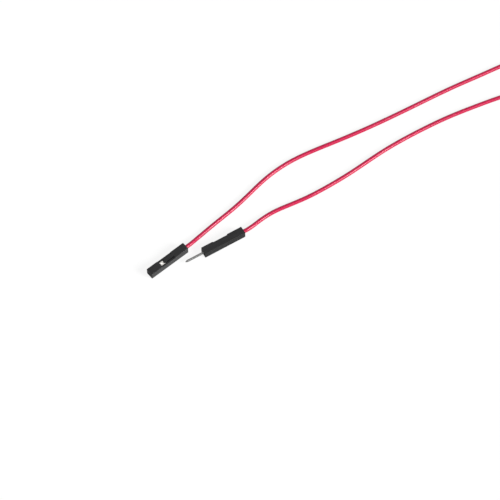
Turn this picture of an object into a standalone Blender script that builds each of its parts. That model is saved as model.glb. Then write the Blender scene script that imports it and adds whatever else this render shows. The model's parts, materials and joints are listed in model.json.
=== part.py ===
"""Breadboard jumper wire, male to female, as it lies on a table.

A one-way housing sits at each end of a red stranded wire. The female housing holds a folded socket
terminal, the male housing a folded terminal with a square pin. Each terminal grips the bare strands with one
pair of wings and the wire's jacket with a second pair.

Units are metres, +Z is up, and the table is at Z = 0. The pieces of each end are modelled along the end's own
X: X = 0 is the mating face, X = HOUSING_LENGTH the rear where the wire leaves, and +Z is the latch side.
"""
import math

import bmesh
import bpy
import numpy as np
from mathutils import Vector

# Wire
JACKET_DIAMETER = 0.0013
STRAND_DIAMETER = 0.000127
STRAND_SPACING = 0.000013   # between neighbouring strands
STRAND_LAY = 0.012          # length over which the strands turn once round the middle one
STRAND_TIP = 0.00015        # how far the strands stand out of the core crimp, towards the box
STRAND_CLEARANCE = 0.00005  # between the strands' drawn ends and the jacket's cut

# Housing: the same moulding at both ends. Its cavity is sized by the crimped jacket that goes through it.
HOUSING_LENGTH = 0.0140
WALL = 0.0003               # round the cavity
HOUSING_EDGE = 0.0001       # radius along its edges
FRONT_WALL = 0.0007
CAVITY_CLEARANCE = 0.00005  # round the jacket crimp
REAR_MOUTH_FLARE = 0.0001   # the cavity widens by this on each side at the rear
REAR_MOUTH_DEPTH = 0.0003
PIN_CLEARANCE = 0.00013     # between a pin and the hole in the front wall
HOLE_FLARE = 0.0002         # the hole widens by this on each side at the mating face
HOLE_FLARE_DEPTH = 0.00035

# Latch: a tongue over the cavity, between side walls that are cut down
RECESS_START = 0.0038
RECESS_LENGTH = 0.0052
RECESS_BELOW_ROOF = 0.00008 # how far below the cavity's roof the side walls are cut
WINDOW_LENGTH = 0.0022
TONGUE_WIDTH = 0.0012
TONGUE_TIP_SLOPE = 0.00025
HOOK_DROP = 0.0003          # how far the hook reaches into the cavity
HOOK_LENGTH = 0.0009
HOOK_TIP_LENGTH = 0.0003    # flat part at the bottom of the hook
HOOK_WIDTH = 0.0009

# Terminals: one folded sheet each, from the box at the front to the jacket crimp at the rear
SHEET = 0.0002
FOLD_RADIUS = 0.00018
BOX_CLEARANCE = 0.0001      # between the box and the cavity on each side
FRONT_CLEARANCE = 0.0002    # between the box and the front wall
LATCH_CLEARANCE = 0.00006   # between the box's rear edge and the hook
SEAM_GAP = 0.00008
CHANNEL_WIDTH = 0.0011      # outer width of the open channel behind the box
CHANNEL_LENGTH = 0.00125
CHANNEL_TOP = 0.0           # height of the channel's edges above the wire's axis
SHOULDER = 0.00015          # length over which the sheet changes from one form to the next
CRIMP_CLEARANCE = 0.00005
CORE_CRIMP_LENGTH = 0.0017
CORE_CRIMP_SWEEP = 158.0    # degrees from the sheet's floor to the tip of each wing
BELL_FLARE = 0.00006        # the core crimp opens by this at both its ends
BELL_LENGTH = 0.00025
BARE_LENGTH = 0.0005        # from the core crimp to the jacket's cut
CRADLE_LENGTH = 0.0004      # the low trough under the jacket, in front of its wings
CRADLE_SWEEP = 62.0
JACKET_CRIMP_LENGTH = 0.0018
JACKET_CRIMP_SWEEP = 152.0

# Socket springs: two leaves inside the female box
SPRING_THICKNESS = 0.00012
SPRING_WIDTH = 0.0008
SPRING_SETBACK = 0.0002     # behind the box's front edge
SPRING_LENGTH = 0.0038
SPRING_GAP = 0.0005         # between the springs where they grip a pin
SPRING_ROOT = 0.12          # where the root ends, as a share of the spring's length
SPRING_BEND = 0.30          # the share at which it is half way in
SPRING_GRIP = (0.52, 0.66)  # the shares at which its grip starts and ends

# Pin
PIN_SIDE = 0.00064
PIN_REACH = 0.0062          # in front of the mating face
PIN_TIP_LENGTH = 0.0007
PIN_TIP_SIDE = 0.0003
PIN_ROOT_TAPER = 0.0005     # over this length the pin widens to the box
PIN_ROOT_LENGTH = 0.0009    # inside the box

# Where each end lies: the centre of its rear face on the table, its direction in degrees, and its turn about
# the wire's axis
FEMALE_EXIT = (-0.003227, 0.001736)
FEMALE_HEADING = 40.5
FEMALE_ROLL = 0.0
MALE_EXIT = (0.014025, 0.007237)
MALE_HEADING = 31.4
MALE_ROLL = -90.0

# The wire's route over the table from the female end to the male end, chosen by hand from the photograph.
# The heights are the wire's centre line.
ROUTE = (
    (-0.00030, 0.00465, 0.00088),
    (0.00270, 0.00775, 0.00067),
    (0.00664, 0.01155, 0.00066),
    (0.01105, 0.01575, 0.00066),
    (0.01636, 0.02154, 0.00066),
    (0.02030, 0.02590, 0.00066),
    (0.02440, 0.02965, 0.00066),
    (0.02880, 0.03285, 0.00066),
    (0.03370, 0.03565, 0.00066),
    (0.04150, 0.03945, 0.00066),
    (0.05000, 0.04365, 0.00066),
    (0.05950, 0.04875, 0.00066),
    (0.06950, 0.05445, 0.00066),
    (0.07950, 0.06010, 0.00066),
    (0.08950, 0.06530, 0.00066),
    (0.09700, 0.06920, 0.00066),
    (0.10350, 0.07240, 0.00066),
    (0.11030, 0.07470, 0.00066),
    (0.11570, 0.07250, 0.00066),
    (0.11790, 0.06700, 0.00066),
    (0.11570, 0.06150, 0.00066),
    (0.11020, 0.05930, 0.00066),
    (0.10300, 0.05890, 0.00066),
    (0.09560, 0.05690, 0.00066),
    (0.08700, 0.05330, 0.00066),
    (0.07800, 0.04910, 0.00066),
    (0.07000, 0.04470, 0.00066),
    (0.06250, 0.04010, 0.00066),
    (0.05591, 0.03552, 0.00066),
    (0.04990, 0.03085, 0.00066),
    (0.04497, 0.02715, 0.00066),
    (0.03917, 0.02320, 0.00066),
    (0.03340, 0.01970, 0.00066),
    (0.02780, 0.01690, 0.00066),
    (0.02300, 0.01440, 0.00067),
    (0.01880, 0.01120, 0.00080),
)
ROUTE_STEP = 0.0036         # between the points of the finished tube

CAVITY_HALF = JACKET_DIAMETER / 2 + CRIMP_CLEARANCE + SHEET + CAVITY_CLEARANCE
HOUSING_HALF = CAVITY_HALF + WALL
HOLE_HALF = PIN_SIDE / 2 + PIN_CLEARANCE
TONGUE_TIP = RECESS_START + WINDOW_LENGTH
BOX_HALF = CAVITY_HALF - BOX_CLEARANCE
BOX_START = FRONT_WALL + FRONT_CLEARANCE
BOX_END = TONGUE_TIP - LATCH_CLEARANCE
STRAND_PITCH = STRAND_DIAMETER + STRAND_SPACING
CORE_RADIUS = STRAND_PITCH + STRAND_DIAMETER / 2
CORE_CRIMP_START = BOX_END + CHANNEL_LENGTH
CORE_CRIMP_END = CORE_CRIMP_START + CORE_CRIMP_LENGTH
STRAND_START = CORE_CRIMP_START - STRAND_TIP
JACKET_START = CORE_CRIMP_END + BARE_LENGTH
JACKET_CRIMP_START = JACKET_START + CRADLE_LENGTH
CUT_MARGIN = 0.0003         # how far a cutter stands past the face that it opens

EDGE_SEGMENTS = 2
PROFILE_POINTS = 9          # on each half of the sheet's section
WALL_POINTS = 4             # of them on the box's side wall
OUTER_STRANDS = 6           # round the middle one
STRAND_SIDES = 8
STRAND_RINGS = 6            # sections along a bare strand
ROUTE_READINGS = 2000       # along the spline, from which the even steps are read


def material(name, colour, roughness, metallic=0.0):
    mat = bpy.data.materials.new(name)
    mat.use_nodes = True
    shader = mat.node_tree.nodes["Principled BSDF"]
    shader.inputs["Base Color"].default_value = (*colour, 1.0)
    shader.inputs["Roughness"].default_value = roughness
    shader.inputs["Metallic"].default_value = metallic
    return mat


def mesh_object(name, bm, parent, mat=None):
    """Adds an object whose faces point outwards, in its parent's own axes."""
    bmesh.ops.recalc_face_normals(bm, faces=bm.faces)
    mesh = bpy.data.meshes.new(name)
    bm.to_mesh(mesh)
    bm.free()
    obj = bpy.data.objects.new(name, mesh)
    bpy.context.collection.objects.link(obj)
    obj.parent = parent
    if mat:
        mesh.materials.append(mat)
    return obj


def tool(name, bm, parent):
    """Adds an object that only cuts or joins, and is not a piece itself."""
    obj = mesh_object(name, bm, parent)
    obj.hide_render = True
    obj.display_type = "WIRE"
    return obj


def boolean(obj, other, operation):
    mod = obj.modifiers.new(other.name, "BOOLEAN")
    mod.operation = operation
    mod.object = other


def loft(rings):
    """A closed body through rings of the same number of points, with flat ends."""
    bm = bmesh.new()
    rows = [[bm.verts.new(point) for point in ring] for ring in rings]
    for low, high in zip(rows, rows[1:]):
        for i in range(len(low)):
            j = (i + 1) % len(low)
            bm.faces.new((low[i], low[j], high[j], high[i]))
    bm.faces.new(rows[0])
    bm.faces.new(rows[-1])
    return bm


def square(x, half):
    return [(x, -half, -half), (x, half, -half), (x, half, half), (x, -half, half)]


def prism(outline, low, high, axis):
    """An outline of two coordinates, drawn out along the axis named by its index."""
    def at(point, level):
        full = list(point)
        full.insert(axis, level)
        return full
    return loft([[at(p, low) for p in outline], [at(p, high) for p in outline]])


# Housings

def housing(name, end, mat):
    bm = loft([square(0.0, HOUSING_HALF), square(HOUSING_LENGTH, HOUSING_HALF)])
    bmesh.ops.bevel(
        bm, geom=bm.edges[:], offset=HOUSING_EDGE, segments=EDGE_SEGMENTS, profile=0.5, affect="EDGES"
    )
    body = mesh_object(name, bm, end, mat)
    margin = CUT_MARGIN

    # The cavity and its flared rear mouth
    flare = REAR_MOUTH_FLARE / REAR_MOUTH_DEPTH
    cavity = loft([
        square(FRONT_WALL, CAVITY_HALF),
        square(HOUSING_LENGTH - REAR_MOUTH_DEPTH, CAVITY_HALF),
        square(HOUSING_LENGTH + margin, CAVITY_HALF + flare * (REAR_MOUTH_DEPTH + margin)),
    ])
    boolean(body, tool(name + "_cavity", cavity, end), "DIFFERENCE")

    # The hole that a pin goes through, with its tapered mouth
    taper = HOLE_FLARE / HOLE_FLARE_DEPTH
    hole = loft([
        square(-margin, HOLE_HALF + HOLE_FLARE + taper * margin),
        square(HOLE_FLARE_DEPTH, HOLE_HALF),
        square(FRONT_WALL + margin, HOLE_HALF),
    ])
    boolean(body, tool(name + "_hole", hole, end), "DIFFERENCE")

    # The window and the cut-down side walls, which leave the tongue between them
    start, stop, tip = RECESS_START, RECESS_START + RECESS_LENGTH, TONGUE_TIP
    side, tongue = HOUSING_HALF + margin, TONGUE_WIDTH / 2
    outline = [
        (start, -side), (stop, -side), (stop, -tongue), (tip, -tongue),
        (tip, tongue), (stop, tongue), (stop, side), (start, side),
    ]
    recess = prism(outline, CAVITY_HALF - RECESS_BELOW_ROOF, HOUSING_HALF + margin, 2)
    boolean(body, tool(name + "_recess", recess, end), "DIFFERENCE")

    # The slope on the tongue's tip
    slope = [
        (tip - margin, HOUSING_HALF - TONGUE_TIP_SLOPE - margin),
        (tip + TONGUE_TIP_SLOPE + margin, HOUSING_HALF + margin),
        (tip - margin, HOUSING_HALF + margin),
    ]
    boolean(body, tool(name + "_tip", prism(slope, -tongue - margin, tongue + margin, 1), end), "DIFFERENCE")

    # The hook under the tip, which holds the terminal's box. Its root is inside the tongue.
    root = CAVITY_HALF + WALL / 2
    hook = [
        (tip, root),
        (tip, CAVITY_HALF - HOOK_DROP),
        (tip + HOOK_TIP_LENGTH, CAVITY_HALF - HOOK_DROP),
        (tip + HOOK_LENGTH, root),
    ]
    boolean(body, tool(name + "_hook", prism(hook, -HOOK_WIDTH / 2, HOOK_WIDTH / 2, 1), end), "UNION")
    return body


# The folded sheet: each half of its section is a line of PROFILE_POINTS points from the middle of its floor

def even(start, stop, count):
    return [start + (stop - start) * i / (count - 1) for i in range(count)]


def box_profile():
    h, c = BOX_HALF - SHEET / 2, FOLD_RADIUS
    floor = [(0.0, -h), (h - c, -h)]
    wall = [(h, z) for z in even(c - h, h - c, WALL_POINTS)]
    roof = [(y, h) for y in even(h - c, SEAM_GAP / 2, PROFILE_POINTS - len(floor) - WALL_POINTS)]
    return floor + wall + roof


def channel_profile(floor):
    w, c = (CHANNEL_WIDTH - SHEET) / 2, FOLD_RADIUS
    wall = [(w, z) for z in even(floor + c, CHANNEL_TOP, PROFILE_POINTS - 2)]
    return [(0.0, floor), (w - c, floor)] + wall


def barrel_profile(inner_radius, sweep):
    radius = inner_radius + SHEET / 2
    angles = [math.radians(a) for a in even(0.0, sweep, PROFILE_POINTS)]
    return [(radius * math.sin(a), -radius * math.cos(a)) for a in angles]


def sheet_ring(x, half_profile):
    """The closed outline of the sheet's section at x: its outer side, then back along its inner side."""
    line = [Vector((-y, z)) for y, z in reversed(half_profile[1:])] + [Vector(p) for p in half_profile]
    outer, inner = [], []
    for i, point in enumerate(line):
        before = (point - line[i - 1]).normalized() if i else None
        after = (line[i + 1] - point).normalized() if i + 1 < len(line) else None
        before, after = before or after, after or before
        along = (before + after).normalized()
        offset = Vector((along.y, -along.x)) * (SHEET / 2 / along.dot(before))
        outer.append(point + offset)
        inner.append(point - offset)
    return [(x, p.x, p.y) for p in outer + inner[::-1]]


def sheet_body(stations):
    """A loft of the sheet's section, closed at each end by the strip between its outer and inner side."""
    rings = [sheet_ring(x, profile) for x, profile in stations]
    bm = bmesh.new()
    rows = [[bm.verts.new(point) for point in ring] for ring in rings]
    count = len(rings[0])
    for low, high in zip(rows, rows[1:]):
        for i in range(count):
            j = (i + 1) % count
            bm.faces.new((low[i], low[j], high[j], high[i]))
    for row in (rows[0], rows[-1]):
        for i in range(count // 2 - 1):
            bm.faces.new((row[i], row[i + 1], row[count - 2 - i], row[count - 1 - i]))
    return bm


def terminal_sheet(box_start):
    """The part that both terminals share: the box, the channel and the two crimps."""
    box = box_profile()
    core_inside = CORE_RADIUS + CRIMP_CLEARANCE
    jacket_inside = JACKET_DIAMETER / 2 + CRIMP_CLEARANCE
    core = barrel_profile(core_inside, CORE_CRIMP_SWEEP)
    bell = barrel_profile(core_inside + BELL_FLARE, CORE_CRIMP_SWEEP)
    cradle = barrel_profile(jacket_inside, CRADLE_SWEEP)
    grip = barrel_profile(jacket_inside, JACKET_CRIMP_SWEEP)
    channel = channel_profile(box[0][1])
    waist = channel_profile(core[0][1])
    return sheet_body([
        (box_start, box),
        (BOX_END, box),
        (BOX_END + SHOULDER, channel),
        ((BOX_END + CORE_CRIMP_START) / 2, channel),
        (CORE_CRIMP_START - SHOULDER, waist),
        (CORE_CRIMP_START, bell),
        (CORE_CRIMP_START + BELL_LENGTH, core),
        (CORE_CRIMP_END - BELL_LENGTH, core),
        (CORE_CRIMP_END, bell),
        (CORE_CRIMP_END + SHOULDER, waist),
        (JACKET_START - SHOULDER, cradle),
        (JACKET_CRIMP_START - SHOULDER, cradle),
        (JACKET_CRIMP_START, grip),
        (JACKET_CRIMP_START + JACKET_CRIMP_LENGTH, grip),
    ])


def spring(sign):
    """One leaf: rooted in the box's side wall, bowed in to the pin and out again at its free end."""
    wall = BOX_HALF - SHEET / 2
    grip = (SPRING_GAP + SPRING_THICKNESS) / 2
    free = (wall - SHEET / 2 + grip) / 2
    path = [
        (0.0, wall), (SPRING_ROOT, wall), (SPRING_BEND, (wall + grip) / 2),
        (SPRING_GRIP[0], grip), (SPRING_GRIP[1], grip), (1.0, free),
    ]
    half, thick = SPRING_WIDTH / 2, SPRING_THICKNESS / 2
    rings = []
    for share, y in path:
        x = BOX_START + SPRING_SETBACK + share * SPRING_LENGTH
        near, far = sign * (y - thick), sign * (y + thick)
        rings.append([(x, near, -half), (x, far, -half), (x, far, half), (x, near, half)])
    return loft(rings)


def female_terminal(end, mat):
    body = mesh_object("female_terminal", terminal_sheet(BOX_START), end, mat)
    for name, sign in (("left", 1), ("right", -1)):
        boolean(body, tool("female_spring_" + name, spring(sign), end), "UNION")
    return body


def male_terminal(end, mat):
    """The pin widens to the box behind the front wall, which keeps it from being pulled out."""
    box_start = BOX_START + PIN_ROOT_TAPER
    root_half = BOX_HALF - SHEET / 2
    body = mesh_object("male_terminal", terminal_sheet(box_start), end, mat)
    pin = loft([
        square(-PIN_REACH, PIN_TIP_SIDE / 2),
        square(-PIN_REACH + PIN_TIP_LENGTH, PIN_SIDE / 2),
        square(BOX_START, PIN_SIDE / 2),
        square(box_start + SHEET / 2, root_half),
        square(box_start + PIN_ROOT_LENGTH, root_half),
    ])
    boolean(body, tool("male_pin", pin, end), "UNION")
    return body


# Wire

def strands(prefix, end, mat):
    """The seven bare strands in the crimp: one in the middle and six twisted round it."""
    radius = STRAND_DIAMETER / 2
    stop = JACKET_START - STRAND_CLEARANCE
    for number in range(1 + OUTER_STRANDS):
        distance = STRAND_PITCH if number else 0.0
        rings = []
        for k in range(STRAND_RINGS):
            along = (stop - STRAND_START) * k / (STRAND_RINGS - 1)
            turn = 2 * math.pi * (number / OUTER_STRANDS + along / STRAND_LAY)
            y, z = distance * math.cos(turn), distance * math.sin(turn)
            corners = [2 * math.pi * i / STRAND_SIDES for i in range(STRAND_SIDES)]
            rings.append([
                (STRAND_START + along, y + radius * math.cos(a), z + radius * math.sin(a)) for a in corners
            ])
        obj = mesh_object(f"{prefix}_strand_{number + 1}", loft(rings), end, mat)
        obj.data.shade_smooth()
        obj.data.set_sharp_from_angle(angle=math.radians(60))


def on_axis(exit_point, heading, x):
    """A point on the wire's axis inside an end, x behind its mating face."""
    back = HOUSING_LENGTH - x
    angle = math.radians(heading)
    return (
        exit_point[0] - back * math.cos(angle),
        exit_point[1] - back * math.sin(angle),
        HOUSING_HALF,
    )


def smooth_route(points, step):
    """Reads points at an even step along a natural cubic spline through the route."""
    knots = np.array(points)
    span = np.linalg.norm(np.diff(knots, axis=0), axis=1)
    t = np.concatenate(([0.0], np.cumsum(span)))
    count = len(knots)
    system = np.eye(count)
    right = np.zeros((count, 3))
    for i in range(1, count - 1):
        system[i, i - 1:i + 2] = span[i - 1], 2 * (span[i - 1] + span[i]), span[i]
        right[i] = 6 * ((knots[i + 1] - knots[i]) / span[i] - (knots[i] - knots[i - 1]) / span[i - 1])
    bend = np.linalg.solve(system, right)

    def at(value):
        i = min(int(np.searchsorted(t, value, side="right")) - 1, count - 2)
        a, b, h = t[i + 1] - value, value - t[i], span[i]
        return (
            (bend[i] * a ** 3 + bend[i + 1] * b ** 3) / (6 * h)
            + (knots[i] / h - bend[i] * h / 6) * a
            + (knots[i + 1] / h - bend[i + 1] * h / 6) * b
        )

    fine = np.array([at(v) for v in np.linspace(0.0, t[-1], ROUTE_READINGS)])
    run = np.concatenate(([0.0], np.cumsum(np.linalg.norm(np.diff(fine, axis=0), axis=1))))
    places = np.linspace(0.0, run[-1], round(run[-1] / step) + 1)
    return np.column_stack([np.interp(places, run, fine[:, k]) for k in range(3)])


def wire_jacket(mat):
    start, rear = JACKET_START, HOUSING_LENGTH
    inside = (start, (start + rear) / 2, rear, rear + JACKET_DIAMETER)
    female = [on_axis(FEMALE_EXIT, FEMALE_HEADING, x) for x in inside]
    male = [on_axis(MALE_EXIT, MALE_HEADING, x) for x in reversed(inside)]
    points = smooth_route(female + list(ROUTE) + male, ROUTE_STEP)
    curve = bpy.data.curves.new("wire_jacket", "CURVE")
    curve.dimensions = "3D"
    curve.bevel_depth = JACKET_DIAMETER / 2
    curve.bevel_resolution = 2
    curve.use_fill_caps = True
    spline = curve.splines.new("POLY")
    spline.points.add(len(points) - 1)
    for target, point in zip(spline.points, points):
        target.co = (*point, 1.0)
    curve.materials.append(mat)
    obj = bpy.data.objects.new("wire_jacket", curve)
    bpy.context.collection.objects.link(obj)
    return obj


def end_frame(name, exit_point, heading, roll):
    """An empty at the middle of an end's mating face, with X towards the rear."""
    empty = bpy.data.objects.new(name, None)
    bpy.context.collection.objects.link(empty)
    empty.location = on_axis(exit_point, heading, 0.0)
    empty.rotation_mode = "XYZ"
    empty.rotation_euler = (math.radians(roll), 0.0, math.radians(heading))
    return empty


def main():
    for obj in list(bpy.data.objects):
        bpy.data.objects.remove(obj, do_unlink=True)
    black = material("black_nylon", (0.03, 0.03, 0.032), 0.45)
    tinned = material("tinned_bronze", (0.75, 0.74, 0.72), 0.28, 1.0)
    copper = material("tinned_copper", (0.78, 0.74, 0.70), 0.35, 1.0)
    red = material("red_pvc", (0.62, 0.02, 0.05), 0.35)

    female = end_frame("female_end", FEMALE_EXIT, FEMALE_HEADING, FEMALE_ROLL)
    male = end_frame("male_end", MALE_EXIT, MALE_HEADING, MALE_ROLL)
    housing("female_housing", female, black)
    housing("male_housing", male, black)
    female_terminal(female, tinned)
    male_terminal(male, tinned)
    strands("female", female, copper)
    strands("male", male, copper)
    wire_jacket(red)


if __name__ == "__main__":
    main()
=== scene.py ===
"""Looks of a breadboard jumper wire, male to female: the fine form and the finish of every piece.

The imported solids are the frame. The pieces of each end are modelled in the end's own axes, in metres:
X = 0 is the mating face, +X runs to the rear where the wire leaves, and +Z is the latch side. Each end's
place is read from its housing's solid.
"""
import json
import math

import bmesh
import bpy
import numpy as np
from bpy.props import FloatProperty, FloatVectorProperty, IntProperty, PointerProperty
from mathutils import Matrix, Vector


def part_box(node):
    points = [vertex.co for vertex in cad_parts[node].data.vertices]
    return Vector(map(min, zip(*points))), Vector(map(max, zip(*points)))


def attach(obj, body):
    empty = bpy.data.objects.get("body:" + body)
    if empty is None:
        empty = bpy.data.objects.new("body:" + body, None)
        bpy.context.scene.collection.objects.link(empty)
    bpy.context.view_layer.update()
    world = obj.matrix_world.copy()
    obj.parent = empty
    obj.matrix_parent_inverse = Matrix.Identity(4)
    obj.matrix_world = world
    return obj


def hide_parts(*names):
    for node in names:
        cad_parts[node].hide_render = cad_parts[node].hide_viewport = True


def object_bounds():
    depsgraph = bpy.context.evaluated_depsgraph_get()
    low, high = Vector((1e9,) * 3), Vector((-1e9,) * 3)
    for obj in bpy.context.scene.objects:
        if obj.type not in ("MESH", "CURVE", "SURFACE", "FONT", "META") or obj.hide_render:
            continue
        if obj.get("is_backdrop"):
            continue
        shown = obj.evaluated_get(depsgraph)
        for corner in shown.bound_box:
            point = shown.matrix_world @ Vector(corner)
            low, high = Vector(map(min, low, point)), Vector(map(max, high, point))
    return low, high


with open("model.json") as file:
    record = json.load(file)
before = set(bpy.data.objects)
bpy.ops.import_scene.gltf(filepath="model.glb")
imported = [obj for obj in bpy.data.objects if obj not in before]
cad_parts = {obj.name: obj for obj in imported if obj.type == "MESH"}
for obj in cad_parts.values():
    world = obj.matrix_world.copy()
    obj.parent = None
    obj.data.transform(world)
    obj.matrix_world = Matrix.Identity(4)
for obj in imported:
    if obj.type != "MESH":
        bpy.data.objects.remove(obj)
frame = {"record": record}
CAD_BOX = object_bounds()

bl_info = {
    "name": "Breadboard Jumper Wire",
    "version": (1, 0, 0),
    "blender": (4, 5, 0),
    "location": "View3D > Sidebar > Jumper Wire",
    "description": "Builds a male to female jumper wire on its packed solids, with its stage",
    "category": "Add Mesh",
}

BODY = "root"

# Fineness of the meshes
JACKET_SIDES = 32
JACKET_STEP = 0.0005
STRAND_SIDES = 16
STRAND_SECTIONS = 40
SPRING_SECTIONS = 41
DISC_SIDES = 32
SHEET_STEP = 0.0001         # between sections where the sheet keeps its form
SHEET_STEPS = 8             # sections where it changes from one form to the next
ROUTE_READINGS = 12000      # along the spline, from which the even steps are read
CUT_MARGIN = 0.0003         # how far a cutter stands past the face that it opens
SLIVER = 0.0000005          # edges shorter than this are closed up
EDGE_SEGMENTS = 2           # round an edge that is rounded off
PLASTIC_SHARP = math.radians(50)
METAL_SHARP = math.radians(60)

# Points on each half of the sheet's section, in the box: on its floor, at each fold, on its wall and its roof
FLOOR_POINTS, FOLD_POINTS, WALL_POINTS, ROOF_POINTS = 7, 6, 9, 6
PROFILE_POINTS = FLOOR_POINTS + 2 * FOLD_POINTS + WALL_POINTS + ROOF_POINTS - 4

# The jacket's fine form
JACKET_LIP = 0.00003        # rounding of its cut ends
DIE_WAVES = ((0.000003, 0.0113), (0.000002, 0.0047))  # height and length of the slow waves that the die left
TWIST_HEIGHT = 0.000002     # how far the strands' twist shows through
WAVE_ROOM = 0.000006        # kept free under the full radius for the waves and the twist
DENT_REACH = math.radians(14)  # from the middle of a wing's dent to where it fades out

# Shares of the spring's length: end of its root, start and end of its grip, length of its narrowed tip
SPRING_ROOT, SPRING_GRIP, SPRING_TIP = 0.12, (0.56, 0.62), 0.075
SPRING_TIP_WIDTH = 0.7      # of the spring's width, at its free end

# The pin's rounded end: distance from the very end, half width past the end's own, and corner radius, each
# as a share of the rounding
PIN_ROUNDING = ((0.0, -0.6, 0.4), (0.3, -0.15, 0.8), (1.0, 0.1, 1.0))

GROOVES = 3                 # across the inside of the core crimp
GROOVE_WIDTH = 0.28         # half of it, as a share of the grooves' spacing

# The wire's route over the table from the female end to the male end, as in the part's source.
# The heights are the wire's centre line.
ROUTE = (
    (-0.00030, 0.00465, 0.00088),
    (0.00270, 0.00775, 0.00067),
    (0.00664, 0.01155, 0.00066),
    (0.01105, 0.01575, 0.00066),
    (0.01636, 0.02154, 0.00066),
    (0.02030, 0.02590, 0.00066),
    (0.02440, 0.02965, 0.00066),
    (0.02880, 0.03285, 0.00066),
    (0.03370, 0.03565, 0.00066),
    (0.04150, 0.03945, 0.00066),
    (0.05000, 0.04365, 0.00066),
    (0.05950, 0.04875, 0.00066),
    (0.06950, 0.05445, 0.00066),
    (0.07950, 0.06010, 0.00066),
    (0.08950, 0.06530, 0.00066),
    (0.09700, 0.06920, 0.00066),
    (0.10350, 0.07240, 0.00066),
    (0.11030, 0.07470, 0.00066),
    (0.11570, 0.07250, 0.00066),
    (0.11790, 0.06700, 0.00066),
    (0.11570, 0.06150, 0.00066),
    (0.11020, 0.05930, 0.00066),
    (0.10300, 0.05890, 0.00066),
    (0.09560, 0.05690, 0.00066),
    (0.08700, 0.05330, 0.00066),
    (0.07800, 0.04910, 0.00066),
    (0.07000, 0.04470, 0.00066),
    (0.06250, 0.04010, 0.00066),
    (0.05591, 0.03552, 0.00066),
    (0.04990, 0.03085, 0.00066),
    (0.04497, 0.02715, 0.00066),
    (0.03917, 0.02320, 0.00066),
    (0.03340, 0.01970, 0.00066),
    (0.02780, 0.01690, 0.00066),
    (0.02300, 0.01440, 0.00067),
    (0.01880, 0.01120, 0.00080),
)


def linear(code):
    """An sRGB hex colour as linear red, green and blue."""
    channels = [int(code[i:i + 2], 16) / 255 for i in (1, 3, 5)]
    return tuple(c / 12.92 if c <= 0.04045 else ((c + 0.055) / 1.055) ** 2.4 for c in channels)


# Where the ends lie

class End:
    """One end's place in the frame, read from its housing and its mating face."""

    def __init__(self, side, roll):
        low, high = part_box(side + "_housing")
        face = next(m for m in frame["record"]["mounts"] if m["name"] == side + "_mating_face")
        self.back = -Vector(face["axis"]).normalized()
        self.middle = (low + high) / 2
        self.half_length = (self.middle - Vector(face["pos_m"])).dot(self.back)
        self.length = 2 * self.half_length
        self.half = (high.z - low.z) / 2
        self.roll = math.radians(roll)
        heading = math.atan2(self.back.y, self.back.x)
        turned = Matrix.Rotation(heading, 4, "Z") @ Matrix.Rotation(self.roll, 4, "X")
        self.place = Matrix.Translation(self.at(0.0)) @ turned

    def at(self, x):
        """The point on the wire's axis, x behind the mating face."""
        return self.middle + self.back * (x - self.half_length)


ENDS = {"female": End("female", 0.0), "male": End("male", -90.0)}


# Settings that a user would change

def length(name, description, default):
    """A length in metres."""
    return FloatProperty(
        name=name, description=description, default=default, min=0.0, precision=5, unit="LENGTH"
    )


def angle(name, description, degrees):
    """An angle, kept in radians."""
    return FloatProperty(name=name, description=description, default=math.radians(degrees), subtype="ANGLE")


def number(name, description, default):
    return FloatProperty(name=name, description=description, default=default, min=0.0)


def colour(name, description, code):
    return FloatVectorProperty(
        name=name, description=description, default=linear(code), size=3, min=0.0, max=1.0, subtype="COLOR"
    )


def settings_group(group, name, description):
    return PointerProperty(name=name, description=description, type=group)


class WireSettings(bpy.types.PropertyGroup):
    jacket_diameter: length("Jacket diameter", "Outer diameter of the insulation", 0.0013)
    real_length: length("Jacket length", "Length of the insulation from end to end", 0.281)
    bore_depth: length("Bore depth", "Depth of the drawn bore at each end of the jacket", 0.0015)
    strand_diameter: length("Strand diameter", "Diameter of one copper strand", 0.000127)
    strand_spacing: length("Strand spacing", "Gap between neighbouring strands", 0.000013)
    strand_lay: length("Strand lay", "Length over which the strands turn once", 0.012)
    strand_tip: length("Strand tip", "How far the strands stand out of their crimp", 0.00015)
    strand_inset: length("Strand inset", "How far the strands are drawn inside the jacket", 0.0012)
    wing_dent: length("Wing dent", "How deep the crimp's wings press into the jacket", 0.00005)
    outer_strands: IntProperty(
        name="Outer strands", description="Strands round the middle one", default=6, min=3
    )
    jacket_colour: colour("Jacket", "Red of the insulation", "#cf0c4c")
    jacket_shade: colour("Jacket shade", "Deeper red between the die lines", "#b80a42")
    strand_colour: colour("Strand", "Tin over the copper strands", "#cdc3b6")
    cut_colour: colour("Cut copper", "Bare copper on the strands' cut ends", "#c4764d")


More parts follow.
